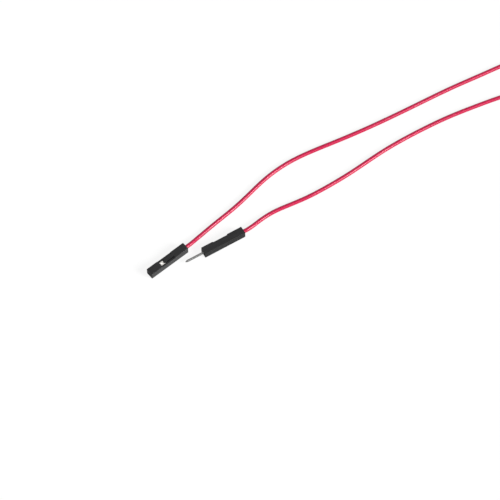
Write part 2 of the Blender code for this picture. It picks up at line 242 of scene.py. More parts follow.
class HousingSettings(bpy.types.PropertyGroup):
    wall: length("Wall", "Wall round the cavity", 0.0003)
    edge_radius: length("Edge radius", "Radius along the outer edges", 0.0001)
    cut_radius: length("Cut edge radius", "Radius along the edges of the openings", 0.00002)
    cavity_corner: length("Cavity corner", "Radius of the cavity's long corners", 0.0001)
    front_wall: length("Front wall", "Thickness of the wall that the pin passes", 0.0007)
    mouth_flare: length("Mouth flare", "How much the cavity widens at the rear", 0.0001)
    mouth_depth: length("Mouth depth", "Length of the flared rear mouth", 0.0003)
    hole_side: length("Hole side", "Width of the hole in the front wall", 0.0009)
    hole_flare: length("Hole flare", "How much the hole widens at the mating face", 0.0002)
    hole_flare_depth: length("Hole flare depth", "Depth of the hole's tapered mouth", 0.00035)
    recess_start: length("Recess start", "From the mating face to the window", 0.0038)
    recess_length: length("Recess length", "Length of the cut in the latch side", 0.0052)
    recess_depth: length("Recess depth", "How deep the side walls are cut down beside the tongue", 0.00028)
    recess_slope: length("Recess slope", "How far the recess's front end slopes back", 0.00035)
    window_length: length("Window length", "Opening in front of the tongue", 0.0022)
    window_width: length("Window width", "Width of the window and of the slots beside the tongue", 0.00132)
    window_ledge: length("Window ledge", "From the recess's ends to the window and the slots", 0.00012)
    tongue_width: length("Tongue width", "Width of the latch tongue", 0.0012)
    tip_slope: length("Tip slope", "How far the nose's slope runs back over the tongue", 0.0001)
    nose_length: length("Nose length", "How far the nose reaches in front of the tongue", 0.00055)
    nose_width: length("Nose width", "Width of the nose", 0.001)
    nose_clearance: length("Nose clearance", "From the terminal's box to the nose and the rails", 0.00005)
    nose_edge: length("Nose edge", "Thickness of the nose's front edge", 0.00005)
    hook_drop: length("Hook drop", "How far the hook reaches into the cavity", 0.0003)
    hook_length: length("Hook length", "Length of the hook along the tongue", 0.0009)
    hook_flat: length("Hook flat", "Flat part at the bottom of the hook", 0.0003)
    hook_width: length("Hook width", "Width of the hook", 0.0009)
    ejector_inset: length("Ejector inset", "From each end to the middle of its ejector mark", 0.00252)
    ejector_diameter: length("Ejector mark", "Diameter of the ejector pins' marks", 0.0009)
    ejector_depth: length("Ejector depth", "Depth of the ejector pins' marks", 0.00003)
    gate_diameter: length("Gate dish", "Diameter of the dish round the gate's stub", 0.0010)
    gate_depth: length("Gate depth", "Depth of the dish round the gate's stub", 0.00008)
    gate_stub: length("Gate stub", "Diameter of the gate's broken stub", 0.0004)
    colour: colour("Nylon", "Black of the moulding", "#0b0b0c")
    # Greyer black streaks along the flow: partly real flow marks, partly a painted sheen
    flow_and_painted_sheen_colour: colour("Nylon flow", "Greyer black where the melt flowed", "#1b1b1d")


class TerminalSettings(bpy.types.PropertyGroup):
    sheet: length("Sheet", "Thickness of the folded sheet", 0.0002)
    fold_radius: length("Fold radius", "Radius of the folds at the sheet's middle", 0.00018)
    box_clearance: length("Box clearance", "Gap between the box and the cavity", 0.0001)
    front_clearance: length("Front clearance", "Gap between the box and the front wall", 0.0002)
    latch_clearance: length("Latch clearance", "Gap between the box and the hook", 0.00006)
    seam_gap: length("Seam gap", "Gap along the box's roof where the sheet meets", 0.00014)
    seam_bend: length("Seam bend", "Width of the edge that dips beside the seam", 0.00014)
    seam_dip: length("Seam dip", "How deep the sheet's edges dip at the seam", 0.00006)
    channel_width: length("Channel width", "Outer width of the open channel", 0.0011)
    channel_length: length("Channel length", "From the box to the core crimp", 0.00125)
    shoulder: length("Shoulder", "Length over which the sheet changes form", 0.00015)
    crimp_clearance: length("Crimp clearance", "Gap between a crimp and what it holds", 0.00005)
    core_crimp_length: length("Core crimp length", "Length of the crimp on the strands", 0.0017)
    core_crimp_sweep: angle("Core crimp sweep", "From the sheet's floor to a core wing's tip", 158.0)
    bell_flare: length("Bell flare", "How much the core crimp opens at its ends", 0.00006)
    bell_length: length("Bell length", "Length of each flared end", 0.00025)
    groove_depth: length("Groove depth", "Depth of the grooves that bite the strands", 0.00003)
    bare_length: length("Bare length", "From the core crimp to the jacket", 0.0005)
    cradle_length: length("Cradle length", "The low trough in front of the jacket's wings", 0.0004)
    cradle_sweep: angle("Cradle sweep", "From the sheet's floor to the trough's edge", 62.0)
    jacket_crimp_length: length("Jacket crimp length", "Length of the crimp on the jacket", 0.0018)
    jacket_crimp_sweep: angle("Jacket crimp sweep", "From the sheet's floor to a jacket wing's tip", 152.0)
    dimple_length: length("Dimple length", "Length of the stiffening dimple in the box's floor", 0.0020)
    dimple_width: length("Dimple width", "Width of the dimple", 0.0006)
    dimple_depth: length("Dimple depth", "Depth of the dimple", 0.00007)
    spring_thickness: length("Spring thickness", "Thickness of a socket spring", 0.00012)
    spring_width: length("Spring width", "Width of a socket spring", 0.0008)
    spring_setback: length("Spring setback", "From the box's front edge to a spring", 0.0002)
    spring_length: length("Spring length", "Length of a socket spring", 0.0038)
    spring_gap: length("Spring gap", "Gap between the springs where they grip a pin", 0.0005)
    pin_side: length("Pin side", "Width of the square pin", 0.00064)
    pin_corner: length("Pin corner", "Radius of the pin's long corners", 0.0002)
    pin_reach: length("Pin reach", "How far the pin stands out of the housing", 0.0062)
    pin_tip_length: length("Pin tip length", "Length of the coined tip", 0.0007)
    pin_tip_side: length("Pin tip side", "Width of the pin at its very end", 0.0003)
    pin_tip_rounding: length("Pin tip rounding", "Radius round the pin's very end", 0.00016)
    pin_fold_start: length("Pin fold start", "From the pin's very end to the groove along its fold", 0.00091)
    pin_root_taper: length("Pin root taper", "Length over which the pin widens to its box", 0.0005)
    pin_root_length: length("Pin root length", "Length of the pin's root in its box", 0.0009)
    tin_colour: colour("Tin", "Tin plate on the socket terminal", "#dcd9d4")
    # Much darker grey than nickel plate is: a painted reflection that stands in for the dim surroundings a
    # real pin mirrors
    nickel_painted_dark_reflection_colour: colour("Nickel", "Nickel plate on the pin terminal", "#7b7b7a")
    sheared_colour: colour("Sheared edge", "Bare bronze along the sheet's cut edges", "#b08d5e")


class StageSettings(bpy.types.PropertyGroup):
    target: FloatVectorProperty(
        name="Target", description="Point in the middle of the picture", default=(0.01605, 0.00159, 0.0),
        size=3, subtype="TRANSLATION", unit="LENGTH",
    )
    distance: length("Camera distance", "From the camera to the target", 0.6)
    elevation: angle("Camera elevation", "Angle of the camera's line above the table", 60.0)
    view_width: length("View width", "Width that the picture spans at the target", 0.15015)
    sensor_width: FloatProperty(
        name="Sensor width", description="Width of the sensor in millimetres", default=36.0
    )
    floor_size: length("Floor size", "Side of the square floor", 4.0)
    floor_drop: length("Floor drop", "How far the floor lies under the object", 0.00001)
    world_light: number("World light", "Brightness of the white surroundings as a lamp", 0.22)
    key_light: number("Key light", "Strength of the soft lamp at the right", 3.8)
    key_lean: angle("Key lean", "Angle of the key lamp from straight above", 60.0)
    key_turn: angle("Key turn", "Turn of the key lamp about the vertical, from the front", 68.0)
    key_spread: angle("Key spread", "Apparent width of the key lamp", 24.0)
    fill_light: number("Fill light", "Strength of the soft lamp at the front left", 0.1)
    fill_lean: angle("Fill lean", "Angle of the fill lamp from straight above", 45.0)
    fill_turn: angle("Fill turn", "Turn of the fill lamp about the vertical, from the front", -50.0)
    fill_spread: angle("Fill spread", "Apparent width of the fill lamp", 70.0)
    card_white: number("Card white", "Share of light that the card reflects", 0.8)
    card_shade: number("Card shade", "Share of the seen card's brightness that a shadow can take", 0.16)
    card_glow: number("Card glow", "Brightness added where the card is seen", 0.88)


class JumperWireSettings(bpy.types.PropertyGroup):
    wire: settings_group(WireSettings, "Wire", "Sizes and colours of the wire")
    housing: settings_group(HousingSettings, "Housing", "Sizes and colours of a housing")
    terminal: settings_group(TerminalSettings, "Terminal", "Sizes and colours of the terminals")
    stage: settings_group(StageSettings, "Stage", "Camera, lamps and floor")


class Plan:
    """Places along an end's axis that several pieces share, worked out from the settings."""

    def __init__(self, settings):
        wire, housing, terminal = settings.wire, settings.housing, settings.terminal
        end = ENDS["female"]
        self.half = end.half
        self.length = end.length
        self.cavity_half = end.half - housing.wall
        self.tongue_tip = housing.recess_start + housing.window_length
        self.box_half = self.cavity_half - terminal.box_clearance
        self.box_start = housing.front_wall + terminal.front_clearance
        self.box_end = self.tongue_tip - terminal.latch_clearance
        self.core_radius = wire.strand_diameter * 1.5 + wire.strand_spacing
        self.jacket_radius = wire.jacket_diameter / 2
        self.core_start = self.box_end + terminal.channel_length
        self.core_end = self.core_start + terminal.core_crimp_length
        self.jacket_start = self.core_end + terminal.bare_length
        self.grip_start = self.jacket_start + terminal.cradle_length
        self.grip_end = self.grip_start + terminal.jacket_crimp_length


# Mesh work

def loft(rings, name="loft"):
    """A closed mesh through rings of the same number of points, with flat ends."""
    bm = bmesh.new()
    rows = [[bm.verts.new(point) for point in ring] for ring in rings]
    for low, high in zip(rows, rows[1:]):
        for i in range(len(low)):
            j = (i + 1) % len(low)
            bm.faces.new((low[i], low[j], high[j], high[i]))
    bm.faces.new(rows[0])
    bm.faces.new(rows[-1])
    return finished(bm, name)


def finished(bm, name):
    bmesh.ops.recalc_face_normals(bm, faces=bm.faces)
    mesh = bpy.data.meshes.new(name)
    bm.to_mesh(mesh)
    bm.free()
    return mesh


def rounded_square(x, half, radius, steps=4):
    """A square ring with round corners, across the end's axis at x."""
    ring = []
    for corner in range(4):
        start = corner * math.pi / 2
        middle = half - radius
        centre_y = middle * (1 if corner in (0, 3) else -1)
        centre_z = middle * (1 if corner in (0, 1) else -1)
        for k in range(steps + 1):
            a = start + k * math.pi / 2 / steps
            ring.append((x, centre_y + radius * math.cos(a), centre_z + radius * math.sin(a)))
    return ring


def prism(outline, low, high, axis):
    """An outline of two coordinates, drawn out along the axis named by its index."""
    def at(point, level):
        full = list(point)
        full.insert(axis, level)
        return full
    return loft([[at(p, low) for p in outline], [at(p, high) for p in outline]])


def circle(radius, sides):
    angles = [2 * math.pi * i / sides for i in range(sides)]
    return [(radius * math.cos(a), radius * math.sin(a)) for a in angles]


def disc(x, radius, low, high):
    """A short cylinder standing on Z, x along the end's axis."""
    return prism([(x + along, across) for along, across in circle(radius, DISC_SIDES)], low, high, 2)


def evaluated(obj):
    """The object's mesh with its modifiers applied. The object and its old mesh are removed."""
    graph = bpy.context.evaluated_depsgraph_get()
    mesh = bpy.data.meshes.new_from_object(obj.evaluated_get(graph))
    old = obj.data
    bpy.data.objects.remove(obj)
    bpy.data.meshes.remove(old)
    return mesh


def working_object(mesh):
    obj = bpy.data.objects.new("work", mesh)
    bpy.context.collection.objects.link(obj)
    return obj


def combined(base, cutter, operation):
    """The base mesh with the other one cut from it or joined to it."""
    obj, other = working_object(base), working_object(cutter)
    mod = obj.modifiers.new("combine", "BOOLEAN")
    mod.operation = operation
    mod.object = other
    mesh = evaluated(obj)
    bpy.data.objects.remove(other)
    bpy.data.meshes.remove(cutter)
    return mesh


def rounded_edges(mesh, radius, sharper_than):
    """The mesh with each edge sharper than the angle rounded off."""
    obj = working_object(mesh)
    mod = obj.modifiers.new("edges", "BEVEL")
    mod.width = radius
    mod.segments = EDGE_SEGMENTS
    mod.limit_method = "ANGLE"
    mod.angle_limit = sharper_than
    mod.miter_outer = "MITER_ARC"
    return evaluated(obj)


def without_slivers(mesh):
    """The mesh without the faces of no width that a cut can leave."""
    bm = bmesh.new()
    bm.from_mesh(mesh)
    bmesh.ops.dissolve_degenerate(bm, edges=bm.edges[:], dist=SLIVER)
    bm.to_mesh(mesh)
    bm.free()
    return mesh


def add_piece(name, mesh, place, nodes, materials):
    """Puts a finished mesh on its body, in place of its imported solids."""
    if name in bpy.data.objects:
        raise RuntimeError(f"{name} has been made already")
    mesh.name = name
    mesh.materials.clear()
    for mat in materials:
        mesh.materials.append(mat)
    mesh.shade_smooth()
    obj = bpy.data.objects.new(name, mesh)
    bpy.context.collection.objects.link(obj)
    obj.matrix_world = place
    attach(obj, BODY)
    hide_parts(*nodes)
    return obj


def keep_flats(obj):
    """Shades flat faces flat and lets the small roundings turn the light."""
    mod = obj.modifiers.new("weighted_normals", "WEIGHTED_NORMAL")
    mod.keep_sharp = True


# Materials

WHITE = (1.0, 1.0, 1.0, 1.0)


def add_node(tree, kind, inputs=None, **settings):
    """Adds a node. An input is a value, a socket to link, or a node whose first output is linked."""
    made = tree.nodes.new("ShaderNode" + kind)
    for key, value in settings.items():
        setattr(made, key, value)
    for key, value in (inputs or {}).items():
        if isinstance(value, bpy.types.Node):
            value = value.outputs[0]
        if isinstance(value, bpy.types.NodeSocket):
            tree.links.new(value, made.inputs[key])
        else:
            made.inputs[key].default_value = value
    return made


def new_material(name):
    if name in bpy.data.materials:
        raise RuntimeError(f"material {name} has been made already")
    mat = bpy.data.materials.new(name)
    mat.use_nodes = True
    mat.node_tree.nodes.clear()
    return mat, mat.node_tree


def per_mm(millimetres):
    """The texture scale at which one cell of a pattern spans that many millimetres."""
    return 1000.0 / millimetres


def darker(tone, share):
    return [share * channel for channel in tone]


def two_tones(tree, pattern, low, high, first, second):
    """The first tone where the pattern is under the low value, the second where it is over the high one."""
    share = add_node(tree, "MapRange", {"Value": pattern, "From Min": low, "From Max": high})
    tones = {"Factor": share, 6: (*first, 1.0), 7: (*second, 1.0)}
    return add_node(tree, "Mix", tones, data_type="RGBA").outputs[2]


def surfaced(mat, bump, shader):
    """Ends a material with its bump and its shader, each from its inputs."""
    tree = mat.node_tree
    normal = add_node(tree, "Bump", bump)
    surface = add_node(tree, "BsdfPrincipled", {**shader, "Normal": normal})
    add_node(tree, "OutputMaterial", {"Surface": surface})
    return mat


def moulded_nylon(colours, half):
    """Polyamide, injection moulded in a spark-eroded tool: black with a fine grain, faint streaks of greyer
    black along the flow, which are partly real flow marks and partly a painted sheen, and patches that are a
    little glossier than others. The tool half that formed the mating face and the side away from the latch
    was eroded more coarsely, so they are matt and darker."""
    mat, tree = new_material("moulded_black_polyamide")
    where = add_node(tree, "TexCoord").outputs["Object"]
    along = add_node(tree, "Mapping", {"Vector": where, "Scale": (0.15, 1.0, 1.0)})
    flow = add_node(tree, "TexNoise", {
        "Vector": along, "Scale": per_mm(0.5), "Detail": 3.0, "Roughness": 0.6,
    })
    patches = add_node(tree, "TexNoise", {"Vector": where, "Scale": per_mm(1.8), "Detail": 2.0})
    gloss = add_node(tree, "MapRange", {
        "Value": patches, "From Min": 0.3, "From Max": 0.7, "To Min": 0.27, "To Max": 0.38,
    })
    axes = add_node(tree, "SeparateXYZ", {"Vector": where}).outputs
    above = add_node(tree, "Math", {0: axes["Z"], 1: half}, operation="ADD")
    nearest = add_node(tree, "Math", {0: axes["X"], 1: above}, operation="MINIMUM")
    coarse = add_node(tree, "MapRange", {
        "Value": nearest, "From Min": 0.00002, "From Max": 0.00005, "To Min": 1.0, "To Max": 0.0,
    })
    roughness = add_node(tree, "Math", {0: coarse, 1: 0.36, 2: gloss}, operation="MULTIPLY_ADD")
    # A real grain is 0.02 to 0.04 mm: this one is as coarse as it needs to show close by
    grain = add_node(tree, "TexNoise", {
        "Vector": where, "Scale": per_mm(0.09), "Detail": 2.0, "Roughness": 0.55,
    })
    erosion = add_node(tree, "Math", {0: coarse, 1: 1.5, 2: 1.0}, operation="MULTIPLY_ADD")
    relief = add_node(tree, "Math", {0: grain, 1: erosion}, operation="MULTIPLY")
    return surfaced(mat, {"Strength": 0.6, "Distance": 0.000006, "Height": relief}, {
        # The greyer streaks are partly real flow marks and partly a painted sheen
        "Base Color": two_tones(tree, flow, 0.35, 0.7, colours.colour, colours.flow_and_painted_sheen_colour),
        "Roughness": roughness, "IOR": 1.53, "Specular IOR Level": 0.3,
    })


def plated_sheet(name, plate, low_roughness, high_roughness):
    """Plate on rolled strip, stamped and folded: soft bright metal with fine rolling lines along the strip,
    clouds of duller plate, and small press marks that scatter the reflections."""
    mat, tree = new_material(name)
    where = add_node(tree, "TexCoord").outputs["Object"]
    rolled = add_node(tree, "Mapping", {"Vector": where, "Scale": (0.03, 1.0, 1.0)})
    lines = add_node(tree, "TexNoise", {
        "Vector": rolled, "Scale": per_mm(0.04), "Detail": 4.0, "Roughness": 0.6,
    })
    clouds = add_node(tree, "TexNoise", {"Vector": where, "Scale": per_mm(0.9), "Detail": 3.0})
    roughness = add_node(tree, "MapRange", {
        "Value": lines, "From Min": 0.3, "From Max": 0.7, "To Min": low_roughness, "To Max": high_roughness,
    })
    # Real press marks are finer: these are as coarse as they need to show
    marks = add_node(tree, "TexVoronoi", {"Vector": where, "Scale": per_mm(0.6)}, feature="DISTANCE_TO_EDGE")
    relief = add_node(tree, "Math", {0: marks, 1: 0.35, 2: lines}, operation="MULTIPLY_ADD")
    return surfaced(mat, {"Strength": 0.25, "Distance": 0.000002, "Height": relief}, {
        "Base Color": two_tones(tree, clouds, 0.35, 0.65, plate, darker(plate, 0.86)),
        "Roughness": roughness, "Metallic": 1.0,
    })


def sheared_bronze(tone):
    """Phosphor bronze, sheared by the press: warm bare metal along the cut edges, torn into fine rough
    specks."""
    mat, tree = new_material("sheared_phosphor_bronze")
    where = add_node(tree, "TexCoord").outputs["Object"]
    torn = add_node(tree, "TexNoise", {"Vector": where, "Scale": per_mm(0.06), "Detail": 3.0})
    return surfaced(mat, {"Strength": 0.7, "Distance": 0.000006, "Height": torn}, {
        "Base Color": two_tones(tree, torn, 0.0, 1.0, tone, darker(tone, 0.7)),
        "Roughness": 0.42, "Metallic": 1.0,
    })


def extruded_pvc(colours):
    """Plasticised PVC, extruded over the strands: saturated red with a soft gloss that changes slowly along
    the wire, long faint die lines, and a slight orange peel."""
    mat, tree = new_material("extruded_red_pvc")
    unrolled = add_node(tree, "UVMap", uv_map="unrolled")
    where = add_node(tree, "TexCoord").outputs["Object"]
    stretched = add_node(tree, "Mapping", {"Vector": unrolled, "Scale": (1.0, 0.015, 1.0)})
    # Real die lines are finer: these are as coarse as they need to show close by
    lines = add_node(tree, "TexNoise", {
        "Vector": stretched, "Scale": per_mm(0.12), "Detail": 3.0, "Roughness": 0.6,
    })
    slow = add_node(tree, "TexNoise", {"Vector": where, "Scale": per_mm(6.0), "Detail": 2.0})
    roughness = add_node(tree, "MapRange", {
        "Value": slow, "From Min": 0.3, "From Max": 0.7, "To Min": 0.24, "To Max": 0.34,
    })
    peel = add_node(tree, "TexNoise", {"Vector": where, "Scale": per_mm(0.25), "Detail": 1.0})
    relief = add_node(tree, "Math", {0: peel, 1: 0.7, 2: lines}, operation="MULTIPLY_ADD")
    return surfaced(mat, {"Strength": 0.2, "Distance": 0.000004, "Height": relief}, {
        "Base Color": two_tones(tree, lines, 0.35, 0.7, colours.jacket_colour, colours.jacket_shade),
        "Roughness": roughness, "IOR": 1.53, "Specular IOR Level": 0.3,
    })


def drawn_copper(name, metal, roughness):
    """Copper wire, drawn through dies: fine lines along each strand, tinned a silvery grey on its outside and
    bare where it was cut."""
    mat, tree = new_material(name)
    where = add_node(tree, "TexCoord").outputs["Object"]
    drawn = add_node(tree, "Mapping", {"Vector": where, "Scale": (0.05, 1.0, 1.0)})
    lines = add_node(tree, "TexNoise", {"Vector": drawn, "Scale": per_mm(0.02), "Detail": 2.0})
    return surfaced(mat, {"Strength": 0.4, "Distance": 0.000002, "Height": lines}, {
        "Base Color": two_tones(tree, lines, 0.0, 1.0, metal, darker(metal, 0.8)),
        "Roughness": roughness, "Metallic": 1.0,
    })


def seen_apart(tree, lighting, shown):
    """One shader for the rays that light the object, and another for those that show it: from the camera, off
    a glossy surface or through a clear one."""
    rays = add_node(tree, "LightPath").outputs
    direct = add_node(tree, "Math", {0: rays["Is Camera Ray"], 1: rays["Is Glossy Ray"]}, operation="MAXIMUM")
    seen = add_node(tree, "Math", {0: direct, 1: rays["Is Transmission Ray"]}, operation="MAXIMUM")
    return add_node(tree, "MixShader", {0: seen, 1: lighting, 2: shown})


def white_card(stage):
    """Matt white card, pressed smooth: an even white without gloss. Where it is seen it is lifted to a plain
    white, and keeps the object's soft shadow."""
    mat, tree = new_material("pressed_white_card")
    plain, shaded = (
        add_node(tree, "BsdfDiffuse", {"Color": (share, share, share, 1.0)})
        for share in (stage.card_white, stage.card_shade)
    )
    glow = add_node(tree, "Emission", {"Color": WHITE, "Strength": stage.card_glow})
    lifted = add_node(tree, "AddShader", {0: shaded, 1: glow})
    add_node(tree, "OutputMaterial", {"Surface": seen_apart(tree, plain, lifted)})
    return mat


# Wire

def smooth_route(points, step):
    """Reads points at an even step along a natural cubic spline through the route."""
    knots = np.array(points)
    span = np.linalg.norm(np.diff(knots, axis=0), axis=1)
    t = np.concatenate(([0.0], np.cumsum(span)))
    count = len(knots)
    system = np.eye(count)
    right = np.zeros((count, 3))
    for i in range(1, count - 1):
        system[i, i - 1:i + 2] = span[i - 1], 2 * (span[i - 1] + span[i]), span[i]
        right[i] = 6 * ((knots[i + 1] - knots[i]) / span[i] - (knots[i] - knots[i - 1]) / span[i - 1])
    bend = np.linalg.solve(system, right)

    def at(value):
        i = min(int(np.searchsorted(t, value, side="right")) - 1, count - 2)
        a, b, h = t[i + 1] - value, value - t[i], span[i]
        return (
            (bend[i] * a ** 3 + bend[i + 1] * b ** 3) / (6 * h)
            + (knots[i] / h - bend[i] * h / 6) * a
            + (knots[i + 1] / h - bend[i + 1] * h / 6) * b
        )

    fine = np.array([at(v) for v in np.linspace(0.0, t[-1], ROUTE_READINGS)])
    run = np.concatenate(([0.0], np.cumsum(np.linalg.norm(np.diff(fine, axis=0), axis=1))))
    places = np.linspace(0.0, run[-1], round(run[-1] / step) + 1)
    return np.column_stack([np.interp(places, run, fine[:, k]) for k in range(3)])


def wire_line(plan, wire):
    """The wire's centre line, from the jacket's cut in the female end to its cut in the male end."""
    start, rear = plan.jacket_start, plan.length
    inside = (start, (start + rear) / 2, rear, rear + wire.jacket_diameter)
    female = [tuple(ENDS["female"].at(x)) for x in inside]
    male = [tuple(ENDS["male"].at(x)) for x in reversed(inside)]
    return smooth_route(female + list(ROUTE) + male, JACKET_STEP)


def jacket_radii(run, total, angles, plan, settings):
    """The jacket's radius round one section: its die's slow waves, the strands' twist, the wings' dents."""
    wire, terminal = settings.wire, settings.terminal
    waves = sum(height * math.sin(2 * math.pi * run / span) for height, span in DIE_WAVES)
    twist = TWIST_HEIGHT * np.cos(wire.outer_strands * (angles - 2 * math.pi * run / wire.strand_lay))
    radii = plan.jacket_radius - WAVE_ROOM + waves + twist
    for end, along in ((ENDS["female"], run), (ENDS["male"], total - run)):
        x = plan.jacket_start + along
        inside = min(x - plan.grip_start, plan.grip_end - x)
        if inside < 0:
            continue
        hold = min(1.0, inside / terminal.shoulder)
        for tip in (terminal.jacket_crimp_sweep, -terminal.jacket_crimp_sweep):
            away = (angles - tip - end.roll + math.pi) % (2 * math.pi) - math.pi
            radii = radii - wire.wing_dent * hold * np.exp(-(away / DENT_REACH) ** 2)
    return radii


def jacket_mesh(line, plan, settings):
    """The insulation: one tube along the line, bored at each end for the strands, its surface unrolled."""
    wire = settings.wire
    run = np.concatenate(([0.0], np.cumsum(np.linalg.norm(np.diff(line, axis=0), axis=1))))
    total = run[-1]
    tangent = np.gradient(line, run, axis=0)
    tangent /= np.linalg.norm(tangent, axis=1)[:, None]
    side = np.cross(tangent, (0.0, 0.0, 1.0))
    side /= np.linalg.norm(side, axis=1)[:, None]
    up = np.cross(side, tangent)
    count = JACKET_SIDES
    angles = np.linspace(0.0, 2 * math.pi, count, endpoint=False)
    lip, bore = JACKET_LIP, plan.core_radius + wire.strand_spacing

    def ring(at, radii):
        centre, s, u = [np.array([np.interp(at, run, v[:, k]) for k in range(3)]) for v in (line, side, up)]
        out = np.outer(np.sin(angles), s) - np.outer(np.cos(angles), u)
        return centre + out * np.broadcast_to(radii, angles.shape)[:, None]

    stations = [(wire.bore_depth, bore), (0.0, bore), (0.0, plan.jacket_radius - lip)]
    stations += [(at, None) for at in (lip, *run[1:-1], total - lip)]
    stations += [(total, plan.jacket_radius - lip), (total, bore), (total - wire.bore_depth, bore)]
    rings = []
    for at, radius in stations:
        radii = jacket_radii(at, total, angles, plan, settings) if radius is None else radius
        rings.append(ring(at, radii))
    faces, unrolled = [], []
    around = 2 * math.pi * plan.jacket_radius / count
    for r in range(len(rings) - 1):
        v0, v1 = stations[r][0], stations[r + 1][0]
        for j in range(count):
            k = (j + 1) % count
            faces.append((r * count + j, (r + 1) * count + j, (r + 1) * count + k, r * count + k))
            unrolled += [(j * around, v0), (j * around, v1), ((j + 1) * around, v1), ((j + 1) * around, v0)]
    last = (len(rings) - 1) * count
    faces.append(tuple(range(count)))
    faces.append(tuple(reversed(range(last, last + count))))
    unrolled += [(0.0, wire.bore_depth)] * count + [(0.0, total - wire.bore_depth)] * count
    mesh = bpy.data.meshes.new("jacket")
    mesh.from_pydata(np.concatenate(rings).tolist(), [], faces)
    layer = mesh.uv_layers.new(name="unrolled")
    layer.data.foreach_set("uv", np.array(unrolled, np.float32).ravel())
    mesh.validate()
    return mesh


def strand_mesh(number, plan, wire):
    """One strand, the middle one or twisted round it, from its tip in the core crimp into the jacket."""
    section = circle(wire.strand_diameter / 2, STRAND_SIDES)
    distance = wire.strand_diameter + wire.strand_spacing if number else 0.0
    start, stop = plan.core_start - wire.strand_tip, plan.jacket_start + wire.strand_inset
    rings = []
    for k in range(STRAND_SECTIONS):
        along = (stop - start) * k / (STRAND_SECTIONS - 1)
        turn = 2 * math.pi * (number / wire.outer_strands + along / wire.strand_lay)
        y, z = distance * math.cos(turn), distance * math.sin(turn)
        rings.append([(start + along, y + across, z + up) for across, up in section])
    mesh = loft(rings)
    for face in mesh.polygons:
        face.material_index = 1 if len(face.vertices) > 4 else 0
    return mesh


# Housings: each form below is cut from the moulding's block or joined to it

def openings(plan, housing):
    """The cavity with the flared mouth at its rear, and the hole that a pin goes through, with its taper."""
    margin, corner, depth = CUT_MARGIN, housing.cavity_corner, housing.mouth_depth
    flare = housing.mouth_flare / depth * (depth + margin)
    yield "DIFFERENCE", loft([
        rounded_square(housing.front_wall, plan.cavity_half, corner),
        rounded_square(plan.length - depth, plan.cavity_half, corner),
        rounded_square(plan.length + margin, plan.cavity_half + flare, corner + flare),
    ])
    hole, corner = housing.hole_side / 2, housing.hole_side / 10
    widest = hole + housing.hole_flare * (1 + margin / housing.hole_flare_depth)
    yield "DIFFERENCE", loft([
        rounded_square(-margin, widest, corner),
        rounded_square(housing.hole_flare_depth, hole, corner),
        rounded_square(housing.front_wall + margin, hole, corner),
    ])


def latch(plan, housing):
    """The roof over the terminal's box, with its window and the tongue that holds the terminal."""
    margin = CUT_MARGIN
    start, stop, tip = housing.recess_start, housing.recess_start + housing.recess_length, plan.tongue_tip
    side, tongue, slot = plan.half + margin, housing.tongue_width / 2, housing.window_width / 2
    low, bottom = plan.box_half + housing.nose_clearance, plan.half - housing.recess_depth

    # The roof, thickened down to the terminal's box, with the window and the slots beside the tongue
    width, roof = plan.cavity_half + margin / 2, (plan.cavity_half + bottom) / 2
    slab = [(start, low), (stop + margin, low), (stop + margin, roof), (start, roof)]
    yield "UNION", prism(slab, -width, width, 1)
    front, end = start + housing.recess_slope + housing.window_ledge, stop - housing.window_ledge
    window = [
        (front, -slot), (end, -slot), (end, -tongue), (tip, -tongue),
        (tip, tongue), (end, tongue), (end, slot), (front, slot),
    ]
    yield "DIFFERENCE", prism(window, low - margin, side, 2)

    # The side walls, cut down beside the window and the tongue
    middle, inside = (tongue + slot) / 2, tip - housing.window_ledge
    rings = []
    for level in (bottom, side):
        front = start + housing.recess_slope * (plan.half - level) / housing.recess_depth
        outline = [
            (front, -side), (stop, -side), (stop, -middle), (inside, -middle),
            (inside, middle), (stop, middle), (stop, side), (front, side),
        ]
        rings.append([(x, y, level) for x, y in outline])
    yield "DIFFERENCE", loft(rings)

    # The nose on the tongue's tip, which slopes down over the terminal's box
    root = plan.cavity_half + housing.wall / 2
    nose, back = tip - housing.nose_length, tip + housing.tip_slope
    block = [(nose, low), (tip, low), ((tip + back) / 2, root), ((tip + back) / 2, side), (nose, side)]
    yield "UNION", prism(block, -housing.nose_width / 2, housing.nose_width / 2, 1)
    rise = (plan.half - low - housing.nose_edge) / (back - nose)
    slope = [
        (nose - margin, low + housing.nose_edge - rise * margin), (back + margin, plan.half + rise * margin),
        (back + margin, side + margin), (nose - margin, side + margin),
    ]
    yield "DIFFERENCE", prism(slope, -middle, middle, 1)

    # The hook under the tip, which holds the terminal's box
    drop = plan.cavity_half - housing.hook_drop
    hook = [(tip, root), (tip, drop), (tip + housing.hook_flat, drop), (tip + housing.hook_length, root)]
    yield "UNION", prism(hook, -housing.hook_width / 2, housing.hook_width / 2, 1)


def tool_marks(plan, housing):
    """Two ejector marks and the gate's dish with its stub, on the side away from the latch."""
    below, gate = -plan.half, plan.length / 2
    for x, diameter, depth in (
        (housing.ejector_inset, housing.ejector_diameter, housing.ejector_depth),
        (plan.length - housing.ejector_inset, housing.ejector_diameter, housing.ejector_depth),
        (gate, housing.gate_diameter, housing.gate_depth),
    ):
        yield "DIFFERENCE", disc(x, diameter / 2, below - CUT_MARGIN, below + depth)
    yield "UNION", disc(gate, housing.gate_stub / 2, below + housing.gate_depth / 3, below + housing.wall / 2)


